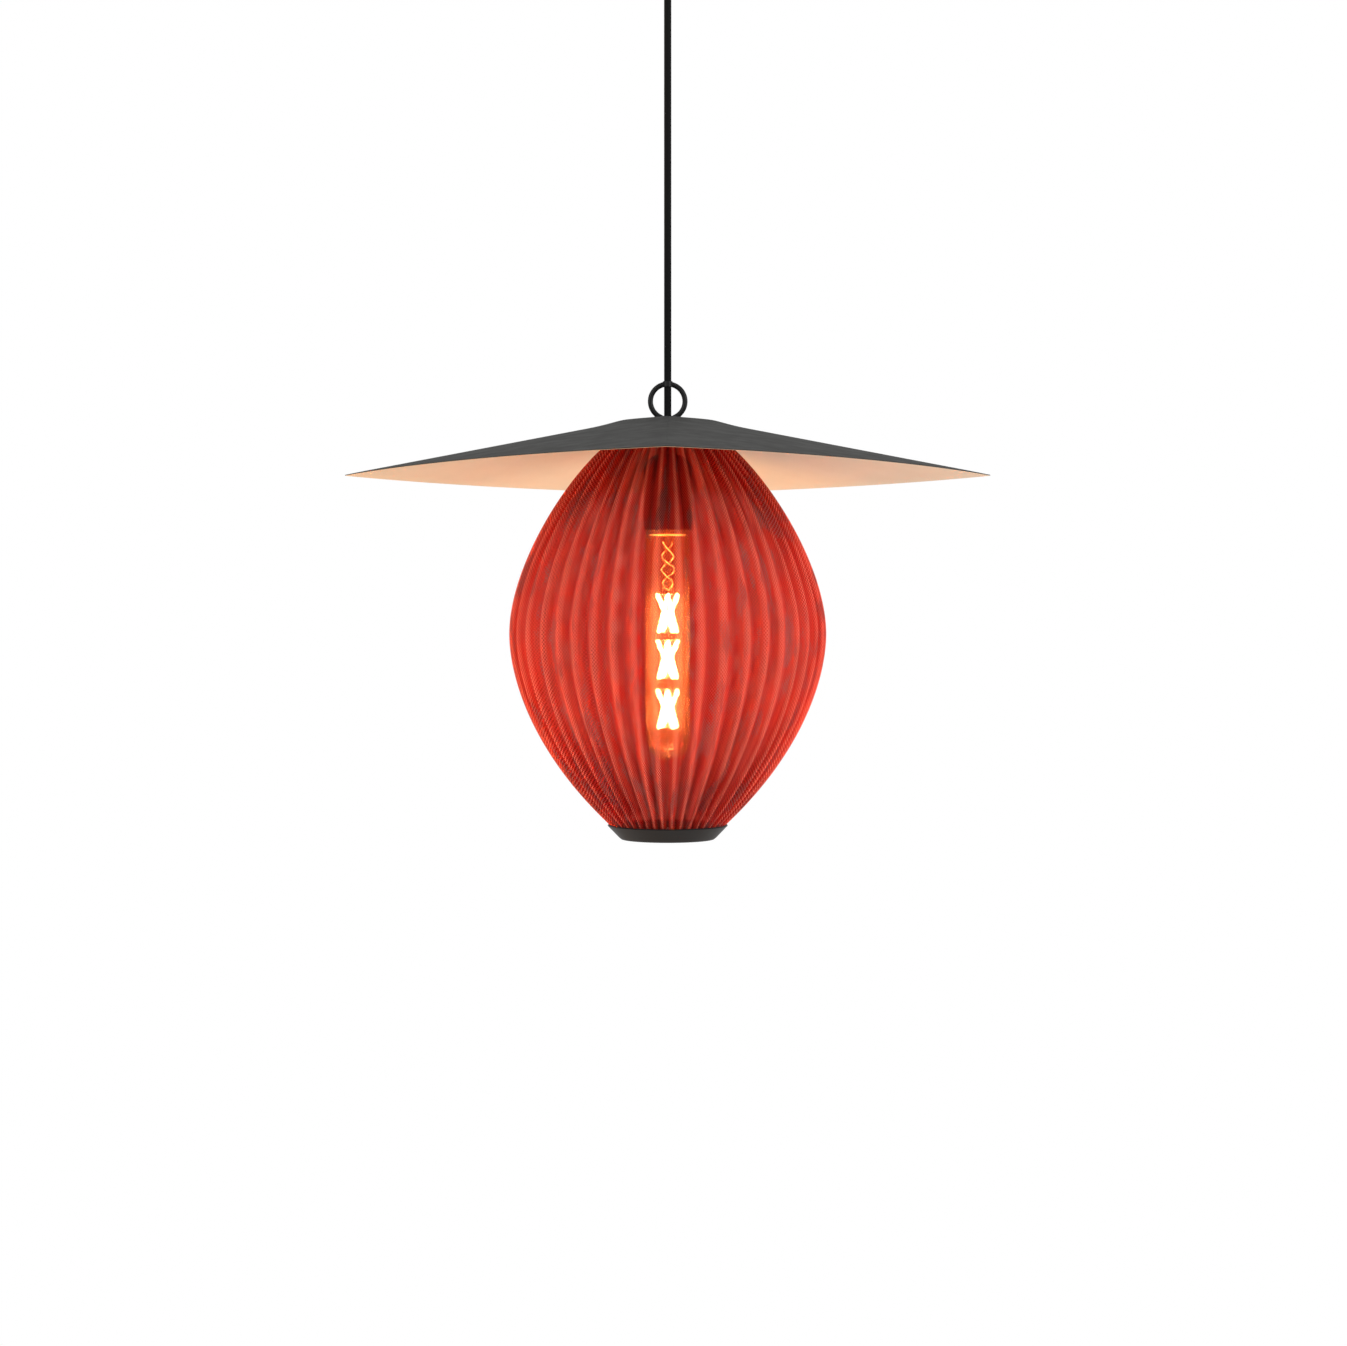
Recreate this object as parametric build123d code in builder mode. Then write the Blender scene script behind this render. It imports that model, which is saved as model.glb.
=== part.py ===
from build123d import *
from math import cos, radians, sin
import os

# Pendant lamp with a square creased metal hat over a pleated see-through lantern.
# Millimetres. +Z is up, the ceiling is z = 0 and the lamp hangs down its own axis, x = y = 0.

# Where things sit along the axis. Below the cord, heights are counted from the hat's flat top.
CANOPY_DEPTH = 55
PIVOT_Z = -66
OUTLET_Z = PIVOT_Z - 3
HAT_Z = OUTLET_Z - 440

# Ceiling side
CANOPY_R = 50
CANOPY_WALL = 1.2
BRACKET_THICK = 2
BRACKET_WIDTH = 20
EAR_WIDTH = 12
EAR_DROP = 14
EAR_X = 47.6
MOUNT_HOLE_X = 35
MOUNT_HOLE_R = 2.6
SIDE_SCREW_R = 2
SIDE_SCREW_Z = -8
GRIP_R = 8.5
GRIP_SCREW_Z = -59
PINCH_SCREW_R = 1.4
THREAD_R = 5
NUT_ACROSS_FLATS = 14
NUT_HEIGHT = 3
BLOCK_SIZE = (20, 18, 15)
BLOCK_X = -19
JACKET_END_Z = -30
CORE_R = 1.1

# Cord
CORD_R = 3.5
CORD_BORE_R = 3.8
PIVOT_GAP = 0.4
CORD_END_Z = HAT_Z - 40

# Hanging ring, on a foot plate that stands on the hat
RING_R = 16.7
RING_WIRE_R = 2.5
RING_Z = HAT_Z + 16.8
EYE_R = 4.7
EYE_HEIGHT = 5.2
FOOT_R = 13
FOOT_THICK = 2

# Hat: square, with corners at front, back and sides; a flat top, a short shoulder, then the long brim.
# Drops below the flat top are at the front, a front edge's middle, the side, a back edge's middle, the back.
HAT_THICK = 1.0
TOP_REACH = 40
SHOULDER_REACH = 67
BRIM_REACH = 313
EDGE_BOW = 0.79
SHOULDER_DROPS = (6.2, 6.5, 7.3, 7.0, 7.3)
BRIM_DROPS = (46.0, 48.5, 54.0, 56.5, 57.0)
NIPPLE_LENGTH = 38

# Lantern: outline of the cloth, as two curves that meet at its widest
LANTERN_TOP = (44.6, HAT_Z - 13.8)
LANTERN_WIDEST = (153.2, HAT_Z - 208.0)
LANTERN_FOOT = (52.0, HAT_Z - 396.8)
UPPER_PULLS = ((90.8, HAT_Z - 43.0), (153.2, HAT_Z - 139.0))
LOWER_PULLS = ((153.2, HAT_Z - 244.9), (134.9, HAT_Z - 320.5))
CLOTH_THICK = 1.2
CLOTH_CUTS = (40, 80, 140, 208, 275, 335)
GORES = 12
LENGTH_GAP = 0.05
GORE_GAP = 0.05
CARRIER_THICK = 1.5
CARRIER_Z = HAT_Z - 14

# Base ring
BASE_TOP_Z = HAT_Z - 392.5
BASE_HEIGHT = 14
BASE_TOP_R = 58.2
BASE_FOOT_R = 46.0
BASE_WALL = 1.4
BASE_SCREW_Z = BASE_TOP_Z - 9
BASE_SCREW_R = 1.25

# Lampholder and bulb
HOLDER_R = 23.3
HOLDER_WALL = 1.0
HOLDER_TOP_Z = HAT_Z - 28
NECK_R = 8.2
HOLDER_SPLIT_Z = HAT_Z - 46
HOLDER_FOOT_Z = HAT_Z - 107.4
INSERT_TOP_Z = HAT_Z - 50
INSERT_FOOT_Z = HAT_Z - 57
SHELL_BORE_R = 13.35
SHELL_FOOT_Z = HAT_Z - 90
CAP_R = 13.2
CAP_TOP_Z = HAT_Z - 65
CAP_FOOT_Z = HAT_Z - 92
GLASS_R = 21.8
GLASS_WALL = 0.9
GLASS_NECK_R = 12.5
GLASS_TOP_Z = HAT_Z - 88
GLASS_TIP_Z = HAT_Z - 330.1
STEM_R = 3.2
STEM_FOOT_Z = HAT_Z - 166
HEAT_DISC_R = 17.7
HEAT_DISC_Z = HAT_Z - 111.7

# Glowing filaments: three crossed bundles, one above the other
BUNDLE_TOPS = (HAT_Z - 169.3, HAT_Z - 213.9, HAT_Z - 262.0)
BUNDLE_HEIGHT = 37.0
BUNDLE_R = 9.5
BUNDLE_TWIST = 120
FILAMENT_COUNT = 4
FILAMENT_R = 1.0
SPOKE_R = 0.5


def save(piece, name):
    piece.part.label = name
    export_step(piece.part, f"parts/{name}.step")


def turned(*outline):
    """A solid turned about the lamp's axis, from (radius, z) corners."""
    with BuildPart() as piece:
        with BuildSketch(Plane.XZ):
            with BuildLine():
                Polyline(*outline, close=True)
            make_face()
        revolve(axis=Axis.Z)
    return piece


def disc(radius, bore, top, thick):
    return turned((bore, top), (radius, top), (radius, top - thick), (bore, top - thick))


def hex_nut(top, bore=THREAD_R):
    """A hexagonal lock nut hanging from the height top."""
    with BuildPart() as piece:
        with BuildSketch(Plane.XY.offset(top)):
            RegularPolygon(NUT_ACROSS_FLATS / 2, 6, major_radius=False)
            Circle(bore, mode=Mode.SUBTRACT)
        extrude(amount=-NUT_HEIGHT)
        chamfer(piece.faces().sort_by(Axis.Z)[-1].outer_wire().edges(), 0.4)
    return piece


def wire(points, radius, bend):
    """A round wire along straight runs joined by arcs."""
    with BuildPart() as piece:
        with BuildLine() as route:
            FilletPolyline(*points, radius=bend)
        with BuildSketch(Plane(route.line @ 0, z_dir=route.line % 0)):
            Circle(radius)
        sweep()
    return piece


def rod(start, end, radius):
    """A straight round rod between two points."""
    along = Vector(*end) - Vector(*start)
    with BuildPart() as piece:
        with BuildSketch(Plane(Vector(*start), z_dir=along)):
            Circle(radius)
        extrude(amount=along.length)
    return piece


def pinch_screw(holed, inner, outer, height):
    """A small screw along X through the wall of a turned piece; its hole is cut in that piece."""
    with holed:
        add(rod((0, 0, height), (outer + 5, 0, height), PINCH_SCREW_R).part, mode=Mode.SUBTRACT)
    return rod((inner + 0.4, 0, height), (outer, 0, height), PINCH_SCREW_R)


# ---- ceiling side ----

def ceiling_bracket():
    """A strip against the ceiling, with an ear turned down at each end for the canopy's screws."""
    middle = -BRACKET_THICK / 2
    with BuildPart() as piece:
        with BuildSketch(Plane.XY):
            Rectangle(2 * EAR_X, EAR_WIDTH)
            RectangleRounded(2 * EAR_X - 12, BRACKET_WIDTH, 4)
        extrude(amount=-BRACKET_THICK)
        for side in (-1, 1):
            with Locations((side * (EAR_X + middle), 0, -EAR_DROP / 2)):
                Box(BRACKET_THICK, EAR_WIDTH, EAR_DROP)
        with BuildSketch(Plane.XY):
            with Locations((-MOUNT_HOLE_X, 0), (MOUNT_HOLE_X, 0)):
                Circle(MOUNT_HOLE_R)
        extrude(amount=-BRACKET_THICK, mode=Mode.SUBTRACT)
        with BuildSketch(Plane.YZ):
            with Locations((0, SIDE_SCREW_Z)):
                Circle(SIDE_SCREW_R)
        extrude(amount=2 * EAR_X, both=True, mode=Mode.SUBTRACT)
    return piece


def canopy_cup():
    """A round cup that hides the wiring, open to the ceiling."""
    with BuildPart() as piece:
        with BuildSketch(Plane.XY):
            Circle(CANOPY_R)
        extrude(amount=-CANOPY_DEPTH)
        fillet(piece.faces().sort_by(Axis.Z)[0].edges(), 6)
        offset(amount=-CANOPY_WALL, openings=piece.faces().sort_by(Axis.Z)[-1])
        with BuildSketch(Plane.XY.offset(-CANOPY_DEPTH)):
            Circle(THREAD_R)
        extrude(amount=2 * CANOPY_WALL, mode=Mode.SUBTRACT)
        with BuildSketch(Plane.YZ):
            with Locations((0, SIDE_SCREW_Z)):
                Circle(SIDE_SCREW_R)
        extrude(amount=CANOPY_R, both=True, mode=Mode.SUBTRACT)
    return piece


def canopy_screws():
    """Two screws that hold the cup to the bracket's ears."""
    with BuildPart() as piece:
        for side in (-1, 1):
            with BuildSketch(Plane((side * (EAR_X - 4), 0, SIDE_SCREW_Z), z_dir=(side, 0, 0))):
                Circle(SIDE_SCREW_R)
            extrude(amount=CANOPY_R - EAR_X + 4)
            with BuildSketch(Plane((side * CANOPY_R, 0, SIDE_SCREW_Z), z_dir=(side, 0, 0))):
                Circle(3.6)
            extrude(amount=2.4, taper=12)
    return piece


def cord_grip():
    """The outlet: a threaded neck through the cup and a mouth that flares where the cord swings."""
    under = -CANOPY_DEPTH
    return turned(
        (CORD_BORE_R, under + 12),
        (THREAD_R, under + 12),
        (THREAD_R, under),
        (GRIP_R - 1, under),
        (GRIP_R, under - 1),
        (GRIP_R, OUTLET_Z + 1),
        (GRIP_R - 1, OUTLET_Z),
        (6.4, OUTLET_Z),
        (4.6, PIVOT_Z),
        (CORD_BORE_R, PIVOT_Z + 4),
    )


def grip_screw(grip):
    """A small screw through the grip's side that pinches the cord; its hole is cut in the grip."""
    return pinch_screw(grip, CORD_BORE_R, GRIP_R + 0.6, GRIP_SCREW_Z)


def terminal_block():
    """A three-way block under the bracket, with a screw well over each way."""
    length, width, height = BLOCK_SIZE
    with BuildPart() as piece:
        with BuildSketch(Plane.XY.offset(-BRACKET_THICK)):
            with Locations((BLOCK_X, 0)):
                RectangleRounded(length, width, 1.5)
        extrude(amount=-height)
        with BuildSketch(Plane.XY.offset(-BRACKET_THICK - height)):
            with Locations((BLOCK_X, 0)):
                with GridLocations(10, 5.4, 2, 3):
                    Circle(1.8)
        extrude(amount=5, mode=Mode.SUBTRACT)
    return piece


def terminal_screws():
    """The screws down in the block's wells."""
    low = -BRACKET_THICK - BLOCK_SIZE[2]
    with BuildPart() as piece:
        with BuildSketch(Plane.XY.offset(low + 5)):
            with Locations((BLOCK_X, 0)):
                with GridLocations(10, 5.4, 2, 3):
                    Circle(1.6)
        extrude(amount=-3)
    return piece


def supply_core(x, y, block_y):
    """One insulated core from the end of the cord's jacket to the terminal block."""
    entry_z = -BRACKET_THICK - BLOCK_SIZE[2] / 2
    block_face = BLOCK_X + BLOCK_SIZE[0] / 2
    start = (x, y, JACKET_END_Z + 0.4)
    return wire([start, (x, block_y, entry_z), (block_face, block_y, entry_z)], CORE_R, 3)


def cord_stretch(top, bottom):
    return rod((0, 0, top), (0, 0, bottom), CORD_R)


def cord_bend():
    """The ball of cord at the outlet that both swings turn about."""
    with BuildPart() as piece:
        with Locations((0, 0, PIVOT_Z)):
            Sphere(CORD_R)
    return piece


# ---- ring and hat ----

def hanging_ring():
    """A wire ring with a short eye at its top for the cord, brazed to a round foot plate."""
    foot_top = HAT_Z + FOOT_THICK
    with BuildPart() as piece:
        with Locations((0, 0, RING_Z)):
            Torus(RING_R, RING_WIRE_R, rotation=(90, 0, 0))
        split(bisect_by=Plane.XY.offset(foot_top - 0.5), keep=Keep.TOP)
        with Locations((0, 0, RING_Z + RING_R)):
            Cylinder(EYE_R, EYE_HEIGHT)
        with Locations((0, 0, foot_top - FOOT_THICK / 2)):
            Cylinder(FOOT_R, FOOT_THICK)
        with BuildSketch(Plane.XY.offset(RING_Z)):
            Circle(CORD_BORE_R)
        extrude(amount=RING_R * 2, mode=Mode.SUBTRACT)
        with BuildSketch(Plane.XY.offset(HAT_Z)):
            Circle(THREAD_R)
        extrude(amount=RING_R / 2, mode=Mode.SUBTRACT)
    return piece


def hat_edges(reach, bow, drops):
    """A front and a back edge of the square hat: arcs between its front, side and back corners."""
    places = []
    for number, drop in enumerate(drops):
        turn = radians(45 * number)
        out = reach * bow if number % 2 else reach
        places.append((out * sin(turn), -out * cos(turn), HAT_Z - drop))
    front, front_middle, side, back_middle, back = places
    return (
        Edge.make_three_point_arc(front, front_middle, side),
        Edge.make_three_point_arc(side, back_middle, back),
    )


def hat():
    """Thin sheet with a flat top, a shoulder and a brim, in ruled surfaces that meet at four creases."""
    level = (0, 0, 0, 0, 0)
    rings = [
        hat_edges(THREAD_R, 1, level),
        hat_edges(TOP_REACH, EDGE_BOW, level),
        hat_edges(SHOULDER_REACH, EDGE_BOW, SHOULDER_DROPS),
        hat_edges(BRIM_REACH, EDGE_BOW, BRIM_DROPS),
    ]
    under = Location((0, 0, -HAT_THICK))
    half = []
    for inner, outer in zip(rings, rings[1:]):
        for pair in zip(inner, outer):
            face = Face.make_surface_from_curves(*pair)
            half += [face, face.moved(under)]
    for edge in rings[0] + rings[-1]:
        half.append(Face.make_surface_from_curves(edge, edge.moved(under)))
    with BuildPart() as piece:
        add(Solid(Shell(half + [face.mirror(Plane.YZ) for face in half])))
    return piece


# ---- lantern ----

def cloth_line(shift):
    """The cloth's outline from top to foot, moved towards the axis by shift."""
    moved = [(r - shift, z) for r, z in
             (LANTERN_TOP, *UPPER_PULLS, LANTERN_WIDEST, *LOWER_PULLS, LANTERN_FOOT)]
    return moved[:4], moved[3:]


def cloth_length(high, low):
    """One short length of one gore of the cloth, between two heights."""
    outer_up, outer_low = cloth_line(0)
    inner_up, inner_low = cloth_line(CLOTH_THICK)
    with BuildPart() as piece:
        with BuildSketch(Plane.XZ):
            with BuildLine():
                Bezier(*outer_up)
                Bezier(*outer_low)
                Line(outer_low[-1], inner_low[-1])
                Bezier(*reversed(inner_low))
                Bezier(*reversed(inner_up))
                Line(inner_up[0], outer_up[0])
            make_face()
            with Locations((0, (high + low) / 2)):
                Rectangle(4 * LANTERN_WIDEST[0], high - low - LENGTH_GAP, mode=Mode.INTERSECT)
        revolve(axis=Axis.Z, revolution_arc=360 / GORES - GORE_GAP)
    return piece.part


def lantern_cloth():
    """The lantern's cloth as a plain thin shell, open at top and foot: gores, each in short lengths."""
    edges = (LANTERN_TOP[1] + 2, *(HAT_Z - cut for cut in CLOTH_CUTS), LANTERN_FOOT[1] - 2)
    with BuildPart() as piece:
        for high, low in zip(edges, edges[1:]):
            length = cloth_length(high, low)
            add([length.rotate(Axis.Z, 360 / GORES * number) for number in range(GORES)])
    return piece


def lantern_carrier():
    """The plate that carries the lantern: flat, with a sloping flange under the cloth's top edge."""
    top_r, top_z = LANTERN_TOP
    under = top_z - CLOTH_THICK
    return turned(
        (THREAD_R, CARRIER_Z - 1.5),
        (top_r - 4, CARRIER_Z - 1.5),
        (top_r + 4, under - 3.4),
        (top_r + 4, under - 3.4 - CARRIER_THICK),
        (top_r - 4.5, CARRIER_Z - 1.5 - CARRIER_THICK),
        (THREAD_R, CARRIER_Z - 1.5 - CARRIER_THICK),
    )


def cloth_clamp_top():
    """The ring that presses the cloth's top edge onto the carrier's flange."""
    top_r, top_z = LANTERN_TOP
    return turned(
        (top_r - 8.5, CARRIER_Z - 1.5),
        (top_r - 5.2, CARRIER_Z - 1.5),
        (top_r - 0.8, top_z + 0.7),
        (top_r + 4.8, top_z - 2.5),
        (top_r + 4.8, top_z - 1.0),
        (top_r - 0.4, top_z + 2.1),
        (top_r - 8.5, CARRIER_Z + 0.2),
    )


def clamp_screws(carrier, clamp):
    """Three screws through the clamp ring and the carrier; their holes are cut in both."""
    radius = LANTERN_TOP[0] - 7
    with BuildPart() as piece:
        for direction in (30, 150, 270):
            x, y = radius * cos(radians(direction)), radius * sin(radians(direction))
            with BuildSketch(Plane.XY.offset(CARRIER_Z + 2)):
                with Locations((x, y)):
                    Circle(1.25)
            extrude(amount=-8)
            with BuildSketch(Plane.XY.offset(CARRIER_Z - 4.5 + CARRIER_THICK - 1.5)):
                with Locations((x, y)):
                    Circle(2.3)
            extrude(amount=-1.6)
    for holed in (carrier, clamp):
        with holed:
            add(piece.part, mode=Mode.SUBTRACT)
    return piece


def base_ring():
    """The black ring at the lantern's foot: a cone with a lip turned in at its bottom."""
    low = BASE_TOP_Z - BASE_HEIGHT
    with BuildPart() as piece:
        with BuildSketch(Plane.XZ):
            with BuildLine():
                Polyline(
                    (BASE_TOP_R - BASE_WALL, BASE_TOP_Z),
                    (BASE_TOP_R - 0.6, BASE_TOP_Z),
                    (BASE_TOP_R, BASE_TOP_Z - 1),
                    (BASE_FOOT_R + 1.2, low + 1.6),
                    (BASE_FOOT_R - 0.8, low),
                    (BASE_FOOT_R - 4, low),
                    (BASE_FOOT_R - 4, low + 2),
                    (BASE_FOOT_R + 0.2, low + 2.2),
                    close=True,
                )
            make_face()
        revolve(axis=Axis.Z)
    return piece


def cloth_clamp_foot():
    """The ring inside the base ring that holds the cloth's foot against it."""
    low = BASE_TOP_Z - BASE_HEIGHT + 3
    return turned(
        (LANTERN_FOOT[0] + 1.0, BASE_TOP_Z - 1.5),
        (LANTERN_FOOT[0] - 0.6, BASE_TOP_Z - 1.5),
        (BASE_FOOT_R - 3.0, low),
        (BASE_FOOT_R - 0.8, low),
    )


def base_screws(ring, clamp):
    """Three screws from inside through the clamp ring into the base ring."""
    with BuildPart() as piece:
        for direction in (90, 210, 330):
            outward = Vector(1, 0, 0).rotate(Axis.Z, direction)
            start = outward * (BASE_FOOT_R - 2.5) + Vector(0, 0, BASE_SCREW_Z)
            with BuildSketch(Plane(start, z_dir=outward)):
                Circle(BASE_SCREW_R)
            extrude(amount=5.5)
            with BuildSketch(Plane(start, z_dir=outward)):
                Circle(2.2)
            extrude(amount=-1.4)
    for holed in (ring, clamp):
        with holed:
            add(piece.part, mode=Mode.SUBTRACT)
    return piece


# ---- lampholder ----

def holder_cap():
    """The lampholder's dome, with a threaded neck on the nipple."""
    return turned(
        (THREAD_R, HOLDER_TOP_Z),
        (NECK_R, HOLDER_TOP_Z),
        (NECK_R, HOLDER_TOP_Z - 6),
        (15, HOLDER_TOP_Z - 8.5),
        (20.6, HOLDER_TOP_Z - 12.5),
        (HOLDER_R, HOLDER_SPLIT_Z),
        (HOLDER_R - HOLDER_WALL - 0.6, HOLDER_SPLIT_Z),
        (19.2, HOLDER_TOP_Z - 14),
        (14, HOLDER_TOP_Z - 10.2),
        (7.4, HOLDER_TOP_Z - 7.8),
        (THREAD_R, HOLDER_TOP_Z - 7.8),
    )


def neck_screw(cap):
    """The small screw in the cap's neck that locks it on the nipple."""
    return pinch_screw(cap, THREAD_R, NECK_R + 0.6, HOLDER_TOP_Z - 3)


def holder_insert():
    """The insulating body inside the lampholder: a disc and a sleeve round the screw shell."""
    return turned(
        (0, INSERT_TOP_Z),
        (22, INSERT_TOP_Z),
        (22, INSERT_FOOT_Z),
        (17, INSERT_FOOT_Z),
        (16.6, SHELL_FOOT_Z),
        (14, SHELL_FOOT_Z),
        (14, INSERT_FOOT_Z),
        (0, INSERT_FOOT_Z),
    )


def holder_contact():
    """The middle contact: a springy strip on a rivet under the insert."""
    with BuildPart() as piece:
        with BuildSketch(Plane.XY.offset(INSERT_FOOT_Z)):
            with Locations((8, 0)):
                Circle(1.5)
        extrude(amount=-1.1)
        with BuildSketch(Plane.XY.offset(INSERT_FOOT_Z - 1.1)):
            with Locations((3, 0)):
                RectangleRounded(14, 5, 2)
        extrude(amount=-0.5)
    return piece


def side_contact():
    """The strip that joins the screw shell to its terminal."""
    with BuildPart() as piece:
        with Locations((0, 11.5, INSERT_FOOT_Z - 0.3)):
            Box(3, 4.8, 0.6)
        with Locations((0, 13.65, INSERT_FOOT_Z - 1.5)):
            Box(3, 0.5, 3)
    return piece


def holder_wires():
    """Two cores from the end of the cord to the lampholder's terminals."""
    with BuildPart() as piece:
        for side in (-1, 1):
            core = wire(
                [
                    (side * 1.6, 0, CORD_END_Z - PIVOT_GAP),
                    (side * 1.6, 0, HAT_Z - 44),
                    (side * 9, 0, HAT_Z - 45),
                    (side * 9, 0, INSERT_TOP_Z),
                ],
                CORE_R,
                1.8,
            )
            add(core.part)
    return piece


# ---- bulb ----

def bulb_glass():
    """A long tube of glass with a drawn-in neck and a round tip."""
    wall = GLASS_WALL
    tip_centre = GLASS_TIP_Z + GLASS_R
    full = HAT_Z - 105
    neck = HAT_Z - 92
    with BuildPart() as piece:
        with BuildSketch(Plane.XZ):
            with BuildLine():
                Line((GLASS_NECK_R, GLASS_TOP_Z), (GLASS_NECK_R, neck))
                Bezier((GLASS_NECK_R, neck), (GLASS_NECK_R, neck - 7), (GLASS_R, full + 7), (GLASS_R, full))
                Line((GLASS_R, full), (GLASS_R, tip_centre))
                RadiusArc((GLASS_R, tip_centre), (0, GLASS_TIP_Z), GLASS_R)
                Line((0, GLASS_TIP_Z), (0, GLASS_TIP_Z + wall))
                RadiusArc((0, GLASS_TIP_Z + wall), (GLASS_R - wall, tip_centre), -(GLASS_R - wall))
                Line((GLASS_R - wall, tip_centre), (GLASS_R - wall, full))
                Bezier(
                    (GLASS_R - wall, full),
                    (GLASS_R - wall, full + 7),
                    (GLASS_NECK_R - wall, neck - 7),
                    (GLASS_NECK_R - wall, neck),
                )
                Line((GLASS_NECK_R - wall, neck), (GLASS_NECK_R - wall, GLASS_TOP_Z))
                Line((GLASS_NECK_R - wall, GLASS_TOP_Z), (GLASS_NECK_R, GLASS_TOP_Z))
            make_face()
        revolve(axis=Axis.Z)
    return piece


def bulb_cap():
    """The bulb's screw cap, as a plain shell of the thread's outer size."""
    return turned(
        (CAP_R - 2.4, CAP_TOP_Z),
        (CAP_R - 1.4, CAP_TOP_Z),
        (CAP_R, CAP_TOP_Z - 3),
        (CAP_R, CAP_FOOT_Z),
        (CAP_R - 0.5, CAP_FOOT_Z),
        (CAP_R - 0.5, CAP_TOP_Z - 3),
    )


def bulb_insulator():
    """The dark glass button at the end of the cap."""
    return turned(
        (0, HAT_Z - 60.2),
        (5.2, HAT_Z - 60.2),
        (10.5, HAT_Z - 64.7),
        (0, HAT_Z - 64.7),
    )


def bulb_stem():
    """The glass stem inside the bulb, flared where it joins the neck."""
    return turned(
        (0, HAT_Z - 93),
        (10.8, HAT_Z - 93),
        (STEM_R + 0.6, HAT_Z - 101),
        (STEM_R, HAT_Z - 104),
        (STEM_R, STEM_FOOT_Z + 2),
        (STEM_R - 1.4, STEM_FOOT_Z),
        (0, STEM_FOOT_Z),
    )


def spoke_points(top):
    """Directions of a bundle's filament ends, in degrees, at its top and at its bottom."""
    step = 360 / FILAMENT_COUNT
    upper = [number * step for number in range(FILAMENT_COUNT)]
    lower = [angle + BUNDLE_TWIST for angle in upper]
    return (top, upper), (top - BUNDLE_HEIGHT, lower)


def ring_point(angle, height, radius=BUNDLE_R):
    return (radius * cos(radians(angle)), radius * sin(radians(angle)), height)


def filament_supports():
    """A centre wire down the bulb with a spoke to each filament end."""
    lowest = BUNDLE_TOPS[-1] - BUNDLE_HEIGHT
    with BuildPart() as piece:
        add(rod((0, 0, STEM_FOOT_Z), (0, 0, lowest - 3), 0.8).part)
        for top in BUNDLE_TOPS:
            for height, angles in spoke_points(top):
                for angle in angles:
                    add(rod((0, 0, height), ring_point(angle, height), SPOKE_R).part)
    return piece


def filament_bundle(top):
    """Four straight filaments leaning round the axis, so that the bundle is narrow at its middle."""
    (high, upper), (low, lower) = spoke_points(top)
    gap = SPOKE_R + FILAMENT_R * 0.6
    with BuildPart() as piece:
        for start, end in zip(upper, lower):
            add(rod(ring_point(start, high - gap), ring_point(end, low + gap), FILAMENT_R).part)
    return piece


def main():
    os.makedirs("parts", exist_ok=True)

    save(ceiling_bracket(), "ceiling_bracket")
    save(canopy_cup(), "canopy_cup")
    save(canopy_screws(), "canopy_screws")
    grip = cord_grip()
    save(grip_screw(grip), "grip_screw")
    save(grip, "cord_grip")
    save(hex_nut(-CANOPY_DEPTH + CANOPY_WALL + NUT_HEIGHT), "grip_nut")
    save(terminal_block(), "terminal_block")
    save(terminal_screws(), "terminal_screws")
    for name, x, y, block_y in (("core_live", 1.5, -1.2, -5.4), ("core_neutral", -1.7, 0, 0),
                                ("core_earth", 1.5, 1.2, 5.4)):
        save(supply_core(x, y, block_y), name)
    save(cord_stretch(JACKET_END_Z, PIVOT_Z + CORD_R + PIVOT_GAP), "cord_tail")

    save(cord_bend(), "cord_bend")
    save(cord_stretch(PIVOT_Z - CORD_R - PIVOT_GAP, CORD_END_Z), "cord")
    save(hanging_ring(), "hanging_ring")
    save(hat(), "hat")
    save(disc(THREAD_R, CORD_BORE_R, HAT_Z + FOOT_THICK, NIPPLE_LENGTH), "nipple")
    save(disc(15, THREAD_R, HAT_Z - HAT_THICK, 1.5), "hat_washer")
    save(hex_nut(HAT_Z - HAT_THICK - 1.5), "hat_nut")

    carrier = lantern_carrier()
    clamp = cloth_clamp_top()
    save(clamp_screws(carrier, clamp), "clamp_screws")
    save(carrier, "lantern_carrier")
    save(clamp, "cloth_clamp_top")
    save(hex_nut(CARRIER_Z + 1.5), "carrier_nut_upper")
    save(hex_nut(CARRIER_Z - 1.5 - CARRIER_THICK), "carrier_nut_lower")
    save(lantern_cloth(), "lantern_cloth")
    foot = base_ring()
    inner = cloth_clamp_foot()
    save(base_screws(foot, inner), "base_screws")
    save(foot, "base_ring")
    save(inner, "cloth_clamp_foot")

    cap = holder_cap()
    save(neck_screw(cap), "neck_screw")
    save(cap, "holder_cap")
    holder_length = HOLDER_SPLIT_Z - HOLDER_FOOT_Z
    save(disc(HOLDER_R, HOLDER_R - HOLDER_WALL, HOLDER_SPLIT_Z, holder_length), "holder_skirt")
    save(holder_insert(), "holder_insert")
    shell_top = INSERT_FOOT_Z - 3
    save(disc(13.95, SHELL_BORE_R, shell_top, shell_top - SHELL_FOOT_Z), "screw_shell")
    save(holder_contact(), "holder_contact")
    save(side_contact(), "side_contact")
    save(holder_wires(), "holder_wires")

    save(bulb_glass(), "bulb_glass")
    save(bulb_cap(), "bulb_cap")
    save(bulb_insulator(), "bulb_insulator")
    save(disc(4.8, 0, HAT_Z - 59, 1.2), "bulb_contact")
    save(bulb_stem(), "bulb_stem")
    save(disc(HEAT_DISC_R, STEM_R, HEAT_DISC_Z, 0.8), "heat_disc")
    save(filament_supports(), "filament_supports")
    for name, top in zip(("filaments_upper", "filaments_middle", "filaments_lower"), BUNDLE_TOPS):
        save(filament_bundle(top), name)


main()
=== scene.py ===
import math
import random

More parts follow.
